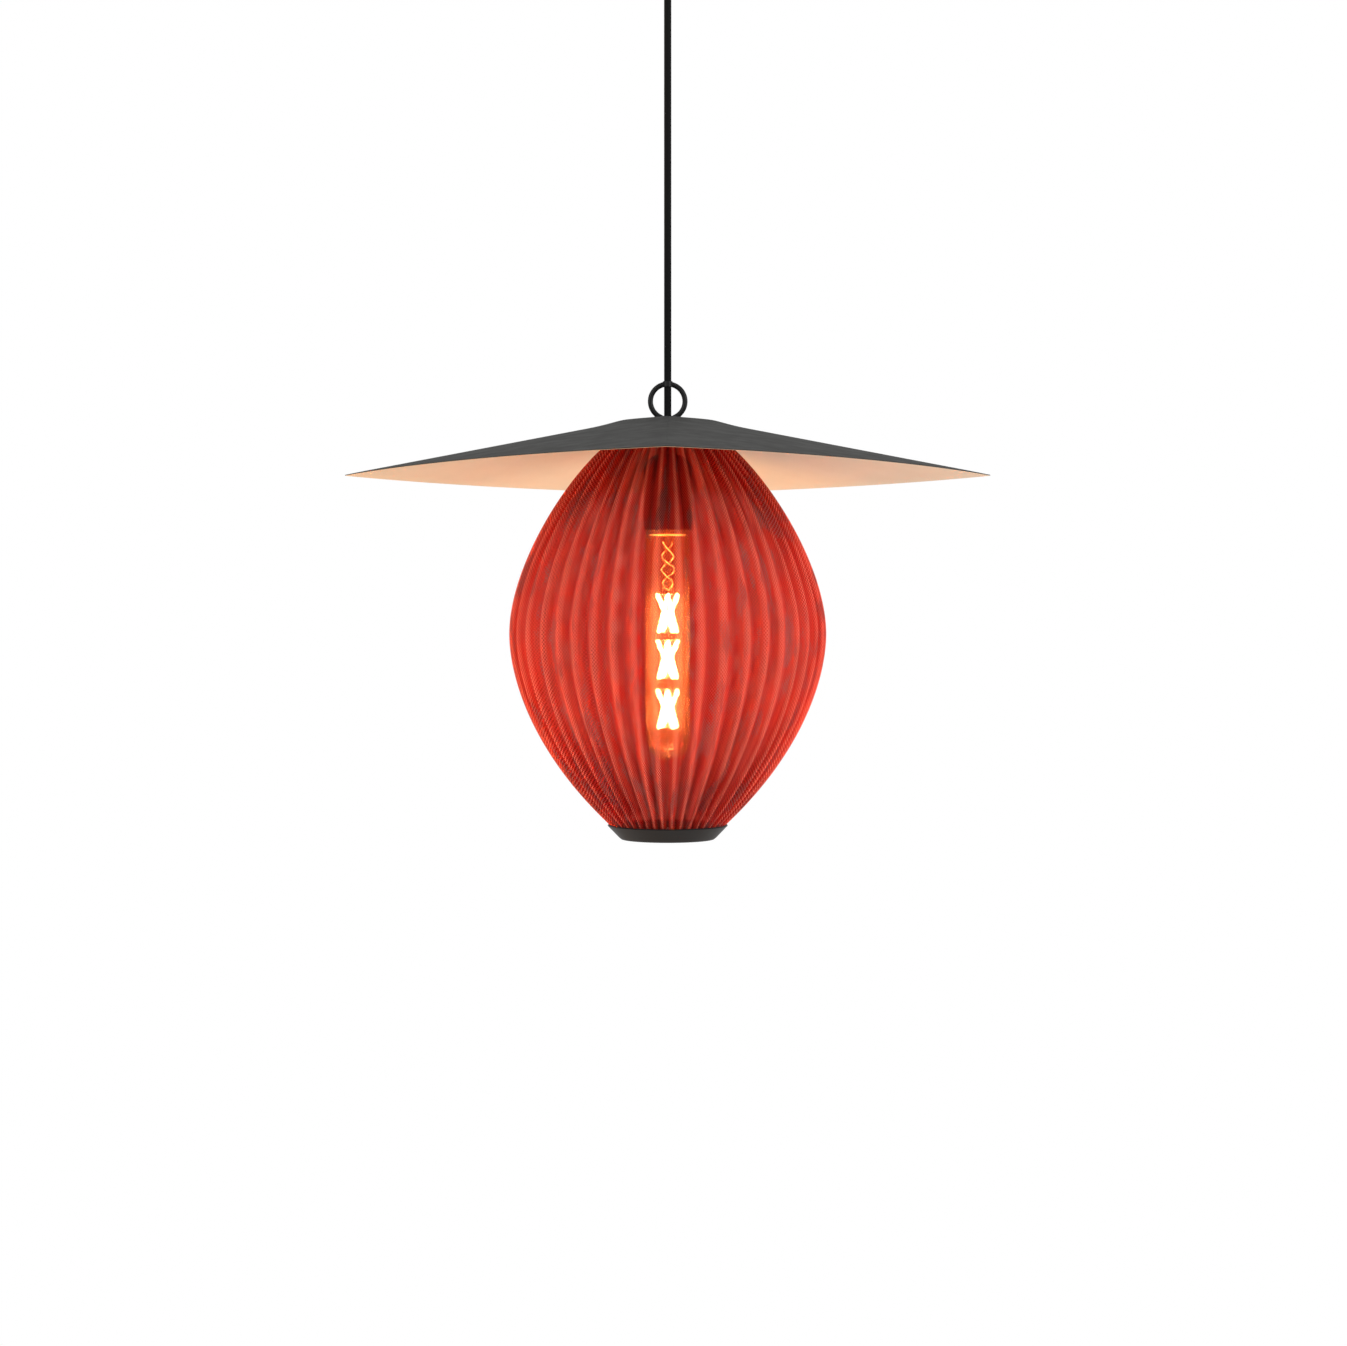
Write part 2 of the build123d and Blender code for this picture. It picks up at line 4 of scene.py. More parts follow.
import bpy
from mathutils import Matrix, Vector


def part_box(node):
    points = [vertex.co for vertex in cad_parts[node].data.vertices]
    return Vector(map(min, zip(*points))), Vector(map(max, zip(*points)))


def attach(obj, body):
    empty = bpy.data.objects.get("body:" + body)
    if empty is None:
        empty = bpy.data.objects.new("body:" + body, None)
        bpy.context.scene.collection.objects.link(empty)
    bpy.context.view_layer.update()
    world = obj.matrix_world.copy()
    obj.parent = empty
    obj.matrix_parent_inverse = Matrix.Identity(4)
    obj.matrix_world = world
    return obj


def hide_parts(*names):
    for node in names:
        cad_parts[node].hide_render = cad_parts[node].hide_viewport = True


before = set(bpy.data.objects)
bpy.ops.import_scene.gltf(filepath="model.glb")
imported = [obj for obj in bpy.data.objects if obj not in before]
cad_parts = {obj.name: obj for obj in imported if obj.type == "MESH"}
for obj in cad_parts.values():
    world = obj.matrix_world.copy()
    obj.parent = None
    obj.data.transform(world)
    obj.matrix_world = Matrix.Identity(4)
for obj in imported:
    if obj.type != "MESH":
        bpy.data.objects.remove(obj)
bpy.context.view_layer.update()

# A pendant lamp: a square metal hat with bowed edges, a pleated see-through lantern, a tubular bulb,
# a cord and a canopy. Metres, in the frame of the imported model: +Z up, the lamp's axis is x = y = 0.

MM = 0.001
HAT_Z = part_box("hat")[1][2]


# ---- small helpers ----

def smoothstep(low, high, value):
    share = min(max((value - low) / (high - low), 0.0), 1.0)
    return share * share * (3 - 2 * share)


def new_object(name, vertices, faces):
    mesh = bpy.data.meshes.new(name)
    mesh.from_pydata(vertices, [], faces)
    mesh.validate()
    obj = bpy.data.objects.new(name, mesh)
    bpy.context.scene.collection.objects.link(obj)
    for face in mesh.polygons:
        face.use_smooth = True
    return obj


def disc(name, radius, height, steps=64):
    """A flat round plate about the lamp's axis."""
    vertices = [(0, 0, height)]
    for i in range(steps):
        turn = 2 * math.pi * i / steps
        vertices.append((radius * math.cos(turn), radius * math.sin(turn), height))
    faces = [(0, 1 + (i + 1) % steps, 1 + i) for i in range(steps)]
    return new_object(name, vertices, faces)


def tube(name, points, radius, sides=8):
    """A round mesh tube with capped ends along a list of points."""
    vertices, faces = [], []
    side = Vector((1, 0, 0))
    for i, point in enumerate(points):
        before, after = points[max(i - 1, 0)], points[min(i + 1, len(points) - 1)]
        along = (Vector(after) - Vector(before)).normalized()
        if abs(along.dot(side)) > 0.95:
            side = Vector((0, 1, 0))
        side = (side - along * side.dot(along)).normalized()
        up = along.cross(side)
        for k in range(sides):
            turn = 2 * math.pi * k / sides
            offset = side * math.cos(turn) + up * math.sin(turn)
            vertices.append(tuple(Vector(point) + offset * radius))
    for i in range(len(points) - 1):
        for k in range(sides):
            low, high = i * sides, (i + 1) * sides
            faces.append((low + k, low + (k + 1) % sides, high + (k + 1) % sides, high + k))
    faces.append(tuple(reversed(range(sides))))
    faces.append(tuple(range(len(vertices) - sides, len(vertices))))
    return new_object(name, vertices, faces)


def joined(name, parts):
    """Several mesh objects made into one."""
    vertices, faces = [], []
    for part in parts:
        start = len(vertices)
        vertices += [tuple(v.co) for v in part.data.vertices]
        faces += [[start + i for i in face.vertices] for face in part.data.polygons]
        bpy.data.objects.remove(part)
    return new_object(name, vertices, faces)


# ---- materials ----

# Between these two values lies most of what a noise node gives.
NOISE_LOW = 0.3
NOISE_HIGH = 0.7
TURNING_MARKS = (60, 60, 2500)
GLASS_EDGE_BLEND = 0.3
GLASS_SHINE = 0.7
GLASS_GLOW = (1.0, 0.80, 0.50)
BRAID_STRANDS = 8
BRAID_PITCH = 2.4 * MM


class Nodes:
    """A new material's node tree, with short ways to add and join nodes."""

    def __init__(self, name):
        self.material = bpy.data.materials.new(name)
        self.material.use_nodes = True
        self.tree = self.material.node_tree
        self.tree.nodes.clear()
        self.out = self.add("ShaderNodeOutputMaterial")

    def add(self, kind, inputs=None, **settings):
        node = self.tree.nodes.new(kind)
        for key, value in settings.items():
            setattr(node, key, value)
        for key, value in (inputs or {}).items():
            if isinstance(value, bpy.types.NodeSocket):
                self.tree.links.new(value, node.inputs[key])
            else:
                node.inputs[key].default_value = value
        return node

    def math(self, operation, first, second=0.0):
        node = self.add("ShaderNodeMath", {0: first, 1: second}, operation=operation)
        return node.outputs[0]

    def noise(self, scale, detail=2.0, roughness=0.5, vector=None):
        place = vector or self.add("ShaderNodeTexCoord").outputs["Object"]
        inputs = {"Vector": place, "Scale": scale, "Detail": detail, "Roughness": roughness}
        return self.add("ShaderNodeTexNoise", inputs).outputs["Fac"]

    def ramp(self, value, *stops):
        """Fades through several colours, each given with its place."""
        node = self.add("ShaderNodeValToRGB", {"Fac": value})
        elements = node.color_ramp.elements
        while len(elements) < len(stops):
            elements.new(0.5)
        for element, (place, colour) in zip(elements, stops):
            element.position = place
            element.color = (*colour, 1.0)
        return node.outputs["Color"]

    def mixed(self, share, first, second):
        """Fades from the first colour to the second as the share goes from 0 to 1."""
        inputs = {"Factor": share, "A": first, "B": (*second, 1.0)}
        node = self.add("ShaderNodeMix", data_type="RGBA")
        for key, value in inputs.items():
            sockets = [socket for socket in node.inputs if socket.name == key and socket.enabled]
            if isinstance(value, bpy.types.NodeSocket):
                self.tree.links.new(value, sockets[0])
            else:
                sockets[0].default_value = value
        return next(socket for socket in node.outputs if socket.enabled)

    def map_range(self, value, from_low, from_high, to_low, to_high):
        inputs = {0: value, 1: from_low, 2: from_high, 3: to_low, 4: to_high}
        return self.add("ShaderNodeMapRange", inputs).outputs[0]

    def bump(self, height, distance):
        inputs = {"Height": height, "Distance": distance, "Strength": 1.0}
        return self.add("ShaderNodeBump", inputs).outputs["Normal"]

    def finish(self, shader):
        self.tree.links.new(shader, self.out.inputs["Surface"])
        return self.material


def darker(colour, share):
    return tuple(c * share for c in colour)


def coated(name, colour, roughness, grain=900, depth=0.05, coat=0.0, spread=0.12, shine=0.5):
    """Paint or plastic: uneven tone, uneven gloss and a fine grain in the surface."""
    n = Nodes(name)
    patches = n.noise(14, 4)
    smudges = n.noise(45, 3)
    dark, light = darker(colour, 1 - spread), darker(colour, 1 + spread)
    tone = n.ramp(patches, (NOISE_LOW, dark), (NOISE_HIGH, light))
    gloss = n.map_range(smudges, NOISE_LOW, NOISE_HIGH, roughness - 0.06, roughness + 0.06)
    shader = n.add("ShaderNodeBsdfPrincipled", {
        "Base Color": tone,
        "Roughness": gloss,
        "Specular IOR Level": shine,
        "Coat Weight": coat,
        "Normal": n.bump(n.noise(grain, 2), depth * MM),
    })
    return n.finish(shader.outputs["BSDF"])


def brushed(name, colour, roughness=0.32):
    """Plated steel or brass with fine turning marks round the axis."""
    n = Nodes(name)
    place = n.add("ShaderNodeTexCoord").outputs["Object"]
    stretched = n.add("ShaderNodeMapping", {"Vector": place, "Scale": TURNING_MARKS}).outputs[0]
    marks = n.noise(1, 3, vector=stretched)
    tone = n.ramp(marks, (NOISE_LOW, darker(colour, 0.85)), (NOISE_HIGH, colour))
    shader = n.add("ShaderNodeBsdfPrincipled", {
        "Base Color": tone,
        "Metallic": 1.0,
        "Roughness": n.map_range(marks, NOISE_LOW, NOISE_HIGH, roughness - 0.08, roughness + 0.1),
        "Normal": n.bump(marks, 0.03 * MM),
    })
    return n.finish(shader.outputs["BSDF"])


def clear_glass(name, tint, haze):
    """Thin clear glass: light goes straight through, its edges shine and it is faintly hazy."""
    n = Nodes(name)
    facing = n.add("ShaderNodeLayerWeight", {"Blend": GLASS_EDGE_BLEND}).outputs["Fresnel"]
    share = n.math("MULTIPLY", facing, GLASS_SHINE)
    through = n.add("ShaderNodeBsdfTransparent", {"Color": (*tint, 1.0)})
    cloudy = n.add("ShaderNodeBsdfTranslucent", {"Color": (*GLASS_GLOW, 1.0)})
    body = n.add("ShaderNodeMixShader", {"Fac": haze, 1: through.outputs[0], 2: cloudy.outputs[0]})
    shine = n.add("ShaderNodeBsdfGlossy", {"Color": (1, 1, 1, 1), "Roughness": 0.05})
    mix = n.add("ShaderNodeMixShader", {"Fac": share, 1: body.outputs[0], 2: shine.outputs[0]})
    return n.finish(mix.outputs[0])


def glowing(name, colour, strength):
    """Light given off a little unevenly over its surface: the filaments' own, and a painted glow on the
    heat disc and stem wires.
    """
    n = Nodes(name)
    level = n.map_range(n.noise(260, 2), NOISE_LOW, NOISE_HIGH, strength * 0.85, strength * 1.15)
    shader = n.add("ShaderNodeBsdfPrincipled", {
        "Base Color": (*colour, 1.0),
        "Roughness": 0.5,
        "Emission Color": (*colour, 1.0),
        "Emission Strength": level,
    })
    return n.finish(shader.outputs["BSDF"])


def braided(name, colour):
    """A woven cord cover: two sets of strands that wind round the cord opposite ways."""
    n = Nodes(name)
    place = n.add("ShaderNodeTexCoord").outputs["Object"]
    parts = n.add("ShaderNodeSeparateXYZ", {"Vector": place})
    turn = n.math("ARCTAN2", parts.outputs["Y"], parts.outputs["X"])
    around = n.math("MULTIPLY", turn, BRAID_STRANDS)
    along = n.math("MULTIPLY", parts.outputs["Z"], 2 * math.pi / BRAID_PITCH)
    one_way = n.math("SINE", n.math("ADD", around, along))
    other_way = n.math("SINE", n.math("SUBTRACT", around, along))
    weave = n.math("MULTIPLY", one_way, other_way)
    tone = n.ramp(weave, (0.0, darker(colour, 0.6)), (1.0, darker(colour, 1.5)))
    shader = n.add("ShaderNodeBsdfPrincipled", {
        "Base Color": tone,
        "Roughness": 0.8,
        "Specular IOR Level": 0.15,
        "Normal": n.bump(weave, 0.12 * MM),
    })
    return n.finish(shader.outputs["BSDF"])


def open_weave(name):
    """The lantern's cloth: fine threads that cross on a slant, with small openings between them.

    The UV map gives metres across and down the flat cloth, so the folds and the weave keep their size.
    """
    n = Nodes(name)
    cloth = n.add("ShaderNodeUVMap", uv_map="cloth").outputs["UV"]
    parts = n.add("ShaderNodeSeparateXYZ", {"Vector": cloth})
    # The pattern of openings: 0 on a thread, 1 in the middle of an opening.
    across = n.math("MULTIPLY", parts.outputs["X"], math.pi / WEAVE_ACROSS)
    along = n.math("MULTIPLY", parts.outputs["Y"], math.pi / WEAVE_ALONG)
    one_way = n.math("ABSOLUTE", n.math("SINE", n.math("ADD", across, along)))
    other_way = n.math("ABSOLUTE", n.math("SINE", n.math("SUBTRACT", across, along)))
    gap = n.math("MULTIPLY", one_way, other_way)
    streaky = n.add("ShaderNodeMapping", {"Vector": cloth, "Scale": STREAK_SCALE}).outputs[0]
    streaks = n.noise(1, 3, 0.6, vector=streaky)
    # Painted shade in the folds: 1 at the bottom of a fold and 0 on its outer edge, weaker half way
    # down the lantern.
    turn = n.math("MULTIPLY", parts.outputs["X"], math.pi / FLANK)
    fold = n.map_range(n.math("COSINE", turn), -1.0, 1.0, 0.0, 1.0)
    from_middle = n.math("ABSOLUTE", n.map_range(parts.outputs["Y"], 0.0, CLOTH_LENGTH, -1.0, 1.0))
    strength = n.map_range(from_middle, 0.2, 0.9, 0.5, 1.0)
    uneven = n.map_range(streaks, 0.35, 0.65, 0.75, 1.25)
    painted_fold_shade = n.math("MULTIPLY", fold, n.math("MULTIPLY", strength, uneven))
    # Where an opening begins, and how soft its edge is.
    edge = n.map_range(streaks, 0.35, 0.7, GAP_EDGE + 0.06, GAP_EDGE - 0.1)
    edge = n.math("ADD", edge, n.math("MULTIPLY", painted_fold_shade, SHADE_CLOSES_GAPS))
    edge_end = n.math("ADD", edge, GAP_SOFTNESS)
    hole = n.map_range(gap, edge, edge_end, 0.0, 1.0)
    # Colour of the threads, with painted shade in the folds and a painted highlight on their outer
    # edges.
    pleat = n.ramp(painted_fold_shade, (0.0, CLOTH_RIDGE_HIGHLIGHT), (0.22, CLOTH_RED), (0.55, CLOTH_RED), (0.9, CLOTH_PAINTED_SHADE))
    # Greyer streaks: painted shade of the dim inside, as if seen through the cloth.
    see_through_shaded = n.mixed(n.map_range(streaks, 0.54, 0.62, 0.0, 0.9), pleat, CLOTH_SEE_THROUGH_SHADE)
    # Painted shade on the threads round each opening.
    gap_shaded = n.mixed(n.map_range(gap, 0.08, 0.4, 0.0, 0.9), see_through_shaded, CLOTH_PAINTED_SHADE)
    threads = n.add("ShaderNodeBsdfPrincipled", {
        "Base Color": gap_shaded,
        "Roughness": 0.7,
        "Specular IOR Level": 0.25,
        "Normal": n.bump(gap, -THREAD_HEIGHT),
    })
    glow = n.add("ShaderNodeBsdfTranslucent", {"Color": (*CLOTH_GLOW, 1.0)})
    passing = n.map_range(fold, 0.0, 1.0, CLOTH_LETS_THROUGH, CLOTH_LETS_THROUGH * 0.3)
    lit = n.add("ShaderNodeMixShader", {"Fac": passing, 1: threads.outputs[0], 2: glow.outputs[0]})
    through = n.add("ShaderNodeBsdfTransparent", {"Color": (*NET_TINT, 1.0)})
    mix = n.add("ShaderNodeMixShader", {"Fac": hole, 1: lit.outputs[0], 2: through.outputs[0]})
    return n.finish(mix.outputs[0])


def paint(obj, material):
    obj.data.materials.clear()
    obj.data.materials.append(material)


# ---- camera ----

# Distances in metres, the lens in millimetres and the pitch in degrees, negative downwards.
CAMERA_DISTANCE = 2.45
CAMERA_BELOW_HAT = 0.1858
CAMERA_ASIDE = 0.0056
CAMERA_PITCH = -1.40
CAMERA_LENS = 67.62


def add_camera():
    data = bpy.data.cameras.new("camera")
    data.lens = CAMERA_LENS
    data.sensor_width = 36
    data.clip_end = 100
    camera = bpy.data.objects.new("camera", data)
    camera.location = (CAMERA_ASIDE, -CAMERA_DISTANCE, HAT_Z - CAMERA_BELOW_HAT)
    camera.rotation_euler = (math.radians(90 + CAMERA_PITCH), 0, 0)
    bpy.context.scene.collection.objects.link(camera)
    bpy.context.scene.camera = camera


# ---- cord ----

CORD_DIAMETER = 7 * MM
# Heights along the cord in millimetres, from inside the outlet down into the lampholder.
CORD_ROUTE = [-66, -100, -150, -200, -250, -300, -350, -400, -450, -500, -549]


def add_cord():
    """The straight round cord from the canopy's outlet down into the lampholder."""
    curve = bpy.data.curves.new("woven_cord", "CURVE")
    curve.dimensions = "3D"
    curve.bevel_depth = CORD_DIAMETER / 2
    curve.bevel_resolution = 6
    curve.use_fill_caps = True
    spline = curve.splines.new("NURBS")
    spline.points.add(len(CORD_ROUTE) - 1)
    for point, height in zip(spline.points, CORD_ROUTE):
        point.co = (0, 0, height * MM, 1)
    spline.order_u = 3
    spline.use_endpoint_u = True
    spline.resolution_u = 6
    cord = bpy.data.objects.new("woven_cord", curve)
    bpy.context.scene.collection.objects.link(cord)
    paint(cord, braided("cord_cover", (0.008, 0.008, 0.008)))
    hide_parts("cord", "cord_bend")
    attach(cord, "cord")


# ---- hat ----

HAT_HOLE_R = 5 * MM
HAT_TOP_REACH = 40 * MM
HAT_SHOULDER_REACH = 67 * MM
HAT_BRIM_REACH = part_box("hat")[1][0]
HAT_EDGE_BOW = 0.79
HAT_THICK = 1.0 * MM
# A corner's very tip is cut back by TIP_ROUNDING, which fades out over TIP_SHARE of each edge.
TIP_ROUNDING = 0.9 * MM
TIP_SHARE = 0.012
# How far each bend's rounding reaches on either side of it.
TOP_BEND_REACH = 9 * MM
SHOULDER_BEND_REACH = 11 * MM
BEND_STEPS = 6
BRIM_STEPS = 12
# Sections lie close together near a corner, and evenly between two corners.
CORNER_SHARES = (0.0, 0.0015, 0.004, 0.008, 0.014, 0.03)
EDGE_STEPS = 20
# The rim's rounded lip: millimetres in from the rim, and share of the sheet's thickness down.
LIP = ((1.2, 0.0), (0.35, 0.12), (0.0, 0.5), (0.35, 0.88), (1.2, 1.0))
# Drops below the flat top at the front, a front edge's middle, a side, a back edge's middle, the back.
SHOULDER_DROPS = (6.2, 6.5, 7.3, 7.0, 7.3)
BRIM_DROPS = (46.0, 48.5, 54.0, 56.5, 57.0)
LEVEL = (0, 0, 0, 0, 0)
HAT_GREY = (0.042, 0.042, 0.039)
HAT_CREAM = (0.82, 0.70, 0.52)


def arc_point(first, middle, last, share):
    """A point on the arc through three points, at a share of its angle from the first."""
    one, two = middle - first, last - first
    across = one.cross(two)
    pull = across.cross(one) * two.length_squared + two.cross(across) * one.length_squared
    centre = first + pull / (2 * across.length_squared)
    axis = across.normalized()
    arm = first - centre
    end = last - centre
    sweep = math.atan2(axis.dot(arm.cross(end)), arm.dot(end)) % (2 * math.pi)
    turn = sweep * share
    return centre + arm * math.cos(turn) + axis.cross(arm) * math.sin(turn)


def hat_edge(quarter, reach, bow, drops):
    """The ends and middle of one of the square hat's four edges, counted from the front corner."""
    first_drops = ((0, 1, 2), (2, 3, 4), (4, 3, 2), (2, 1, 0))[quarter]
    places = []
    for number, drop in enumerate(first_drops):
        turn = math.radians(90 * quarter + 45 * number)
        out = reach * bow if number == 1 else reach
        places.append(Vector((out * math.sin(turn), -out * math.cos(turn), HAT_Z - drops[drop] * MM)))
    return places


def hat_section(quarter, share):
    """From the middle hole out to the rim: points on the upper face, with its two bends rounded off."""
    hole = arc_point(*hat_edge(quarter, HAT_HOLE_R, 1, LEVEL), share)
    top = arc_point(*hat_edge(quarter, HAT_TOP_REACH, HAT_EDGE_BOW, LEVEL), share)
    shoulder = arc_point(*hat_edge(quarter, HAT_SHOULDER_REACH, HAT_EDGE_BOW, SHOULDER_DROPS), share)
    rim = arc_point(*hat_edge(quarter, HAT_BRIM_REACH, HAT_EDGE_BOW, BRIM_DROPS), share)
    near_corner = min(share, 1 - share)
    pull = TIP_ROUNDING * max(1 - near_corner / TIP_SHARE, 0) ** 2
    rim = rim - (rim - shoulder).normalized() * pull
    line = [hole, hole.lerp(top, 0.45)]
    bends = ((hole, top, shoulder, TOP_BEND_REACH), (top, shoulder, rim, SHOULDER_BEND_REACH))
    for before, bend, after, reach in bends:
        start = bend + (before - bend).normalized() * reach
        end = bend + (after - bend).normalized() * reach
        for k in range(BEND_STEPS + 1):
            part = k / BEND_STEPS
            line.append(start.lerp(bend, part).lerp(bend.lerp(end, part), part))
    lead = line[-1]
    line += [lead.lerp(rim, k / BRIM_STEPS) for k in range(1, BRIM_STEPS)]
    return line, rim


def add_hat():
    """Thin pressed sheet with four creased corners and a rounded rim, grey above and cream below."""
    shares = [*CORNER_SHARES] + [k / EDGE_STEPS for k in range(1, EDGE_STEPS)]
    shares += [1 - share for share in reversed(CORNER_SHARES[1:])]
    vertices, faces, rows = [], [], []
    for quarter in range(4):
        for share in shares:
            line, rim = hat_section(quarter, share)
            outward = Vector((rim.x, rim.y, 0)).normalized()
            edge = [rim - outward * back * MM - Vector((0, 0, down * HAT_THICK)) for back, down in LIP]
            below = [point - Vector((0, 0, HAT_THICK)) for point in reversed(line)]
            section = line + edge + below
            rows.append(range(len(vertices), len(vertices) + len(section)))
            vertices += [tuple(point) for point in section]
    count = len(rows[0])
    outside = len(line) + len(LIP) // 2 + 1
    materials = []
    for one, two in zip(rows, rows[1:] + rows[:1]):
        for k in range(count):
            m = (k + 1) % count
            faces.append((one[k], one[m], two[m], two[k]))
            materials.append(0 if k < outside else 1)
    hat = new_object("pressed_hat", vertices, faces)
    grey = coated("hat_outside", HAT_GREY, 0.6, grain=1500, depth=0.03, spread=0.05, shine=0.2)
    cream = coated("hat_inside", HAT_CREAM, 0.5, grain=1500, depth=0.03, spread=0.04)
    hat.data.materials.append(grey)
    hat.data.materials.append(cream)
    hat.data.polygons.foreach_set("material_index", materials)
    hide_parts("hat")
    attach(hat, "lamp")


# ---- lantern cloth ----

PLEATS = 45
CLOTH_SEGMENTS = 12
CLOTH_ROWS = 110
OUTLINE_STEPS = 200
# How far one pleat may differ from the next, as shares of a pleat's width or depth.
UNEVEN_WIDTH = 0.16
UNEVEN_DEPTH = (-0.3, 0.25)
UNEVEN_LEAN = 0.12
# The folds fade out over these shares of the length, at the top and at the foot.
TOP_FADE = 0.07
FOOT_FADE = 0.06
# A flank is one side of a pleat, from outer fold to inner fold.
FLANK = 11.8 * MM
DEEPEST = 10.4 * MM
INSET = 1.0 * MM
TOP_POINT = (44.6 * MM, HAT_Z - 13.8 * MM)
WIDEST = (153.2 * MM, HAT_Z - 208.0 * MM)
FOOT_POINT = (52.0 * MM, HAT_Z - 396.8 * MM)
UPPER_PULLS = ((90.8 * MM, HAT_Z - 43.0 * MM), (153.2 * MM, HAT_Z - 139.0 * MM))
LOWER_PULLS = ((153.2 * MM, HAT_Z - 244.9 * MM), (134.9 * MM, HAT_Z - 320.5 * MM))
# Spacing of the openings across and down the cloth.
WEAVE_ACROSS = 2.7 * MM
WEAVE_ALONG = 3.6 * MM
# The outline's length, as add_cloth finds it, to the millimetre.
CLOTH_LENGTH = 0.449
THREAD_HEIGHT = 0.35 * MM
STREAK_SCALE = (60, 14, 1)
GAP_EDGE = 0.38
GAP_SOFTNESS = 0.14
SHADE_CLOSES_GAPS = 0.1
CLOTH_LETS_THROUGH = 0.16
CLOTH_RED = (0.58, 0.014, 0.012)
# Painted highlight on the folds' outer edges.
CLOTH_RIDGE_HIGHLIGHT = (0.90, 0.20, 0.15)
# Painted shade, in the folds and round the openings.
CLOTH_PAINTED_SHADE = (0.17, 0.006, 0.008)
# Painted shade of the dim inside seen through the cloth, in streaks.
CLOTH_SEE_THROUGH_SHADE = (0.15, 0.09, 0.10)
CLOTH_GLOW = (0.92, 0.09, 0.03)
NET_TINT = (0.80, 0.34, 0.28)


def bezier(points, share):
    a, b, c, d = [Vector((r, z)) for r, z in points]
    rest = 1 - share
    return a * rest ** 3 + b * 3 * rest ** 2 * share + c * 3 * rest * share ** 2 + d * share ** 3


def cloth_outline(rows):
    """Evenly spaced (radius, z) points down the outline of the pleats' outer folds."""
    upper = (TOP_POINT, *UPPER_PULLS, WIDEST)
    lower = (WIDEST, *LOWER_PULLS, FOOT_POINT)
    fine = [bezier(upper, i / OUTLINE_STEPS) for i in range(OUTLINE_STEPS)]
    fine += [bezier(lower, i / OUTLINE_STEPS) for i in range(OUTLINE_STEPS + 1)]
    along = [0.0]
    for one, two in zip(fine, fine[1:]):
        along.append(along[-1] + (two - one).length)
    places, k = [], 0
    for row in range(rows + 1):
        target = along[-1] * row / rows
        while k < len(fine) - 2 and along[k + 1] < target:
            k += 1
        share = (target - along[k]) / (along[k + 1] - along[k])
        places.append(fine[k].lerp(fine[k + 1], share))
    return places, along[-1]


def add_cloth():
    """The pleated lantern: folds from top to foot, deep where it is narrow, near flat at its ends.

    The cloth is one flat piece closed by a seam down an inner fold, so its two side edges meet there.
    """
    rng = random.Random(11)
    outline, length = cloth_outline(CLOTH_ROWS)
    widths = [1 + rng.uniform(-UNEVEN_WIDTH, UNEVEN_WIDTH) for _ in range(PLEATS)]
    total = sum(widths)
    starts = [sum(widths[:k]) / total for k in range(PLEATS + 1)]
    depths = [1 + rng.uniform(*UNEVEN_DEPTH) for _ in range(PLEATS)]
    leans = [rng.uniform(-UNEVEN_LEAN, UNEVEN_LEAN) for _ in range(PLEATS)]
    phases = [rng.uniform(0, 2 * math.pi) for _ in range(PLEATS)]
    columns = PLEATS * CLOTH_SEGMENTS
    vertices = []
    for row, (radius, height) in enumerate(outline):
        down = row / CLOTH_ROWS
        half_pitch = math.pi * radius / PLEATS
        depth = min(math.sqrt(FLANK ** 2 - half_pitch ** 2), DEEPEST)
        ends = smoothstep(0.0, TOP_FADE, down) * smoothstep(1.0, 1.0 - FOOT_FADE, down)
        for column in range(columns + 1):
            pleat, step = divmod(column % columns, CLOTH_SEGMENTS)
            share = step / CLOTH_SEGMENTS
            # 1 in the inner folds and 0 on the outer one, and part way between a zigzag and a wave.
            fold = abs(2 * share - 1)
            rounded = fold * fold * (3 - 2 * fold) * 0.45 + fold * 0.55
            # Each pleat's depth wanders on its way down, and leans towards the next one's near its end.
            own = depths[pleat] * (1 + 0.12 * math.sin(phases[pleat] + 9 * down))
            following = depths[(pleat + 1) % PLEATS]
            own = own + (following - own) * smoothstep(0.75, 1.0, share) * 0.5
            inward = (INSET + depth * own * ends) * rounded
            # The outer fold sways a little to one side or the other.
            sway = leans[pleat] * math.sin(phases[pleat] * 2 + 5 * down) * math.sin(math.pi * share)
            place = starts[pleat] + (starts[pleat + 1] - starts[pleat]) * (share + sway * ends)
            turn = 2 * math.pi * place
            reach = radius - inward
            vertices.append((reach * math.sin(turn), -reach * math.cos(turn), height))
    faces = []
    for row in range(CLOTH_ROWS):
        low, high = row * (columns + 1), (row + 1) * (columns + 1)
        for column in range(columns):
            faces.append((low + column, high + column, high + column + 1, low + column + 1))
    cloth = new_object("pleated_cloth", vertices, faces)
    uv = cloth.data.uv_layers.new(name="cloth")
    step_across = 2 * FLANK / CLOTH_SEGMENTS
    for face in cloth.data.polygons:
        row, column = divmod(face.index, columns)
        corners = ((column, row), (column, row + 1), (column + 1, row + 1), (column + 1, row))
        for loop, (across, down) in zip(face.loop_indices, corners):
            uv.data[loop].uv = (across * step_across, down * length / CLOTH_ROWS)
    paint(cloth, open_weave("lantern_weave"))
    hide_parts("lantern_cloth")
    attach(cloth, "lamp")


# ---- bulb ----

BUNDLE_TOPS = (HAT_Z - 169.3 * MM, HAT_Z - 213.9 * MM, HAT_Z - 262.0 * MM)
BUNDLE_HEIGHT = 37.0 * MM
BUNDLE_R = 9.5 * MM
BUNDLE_TWIST = math.radians(120)
FILAMENT_R = 2.3 * MM
FILAMENT_INSET = 1.6 * MM
CAPSULE_SIDES = 14
CAPSULE_STEPS = 4
# The wires round the stem: turns, inner radius, swelling half way, start below the hat and length.
WIRE_TURNS = 1.75
WIRE_REACH = 4.4 * MM
WIRE_SWELL = 1.8 * MM
WIRE_START = 119 * MM
WIRE_LENGTH = 47 * MM
WIRE_R = 0.6 * MM
WIRE_STEPS = 72
# Strength of the painted glow on the heat disc and the stem wires, which give no light of their own.
GOLD_PAINTED_GLOW = 9.0
FILAMENT_LIGHT = 80.0


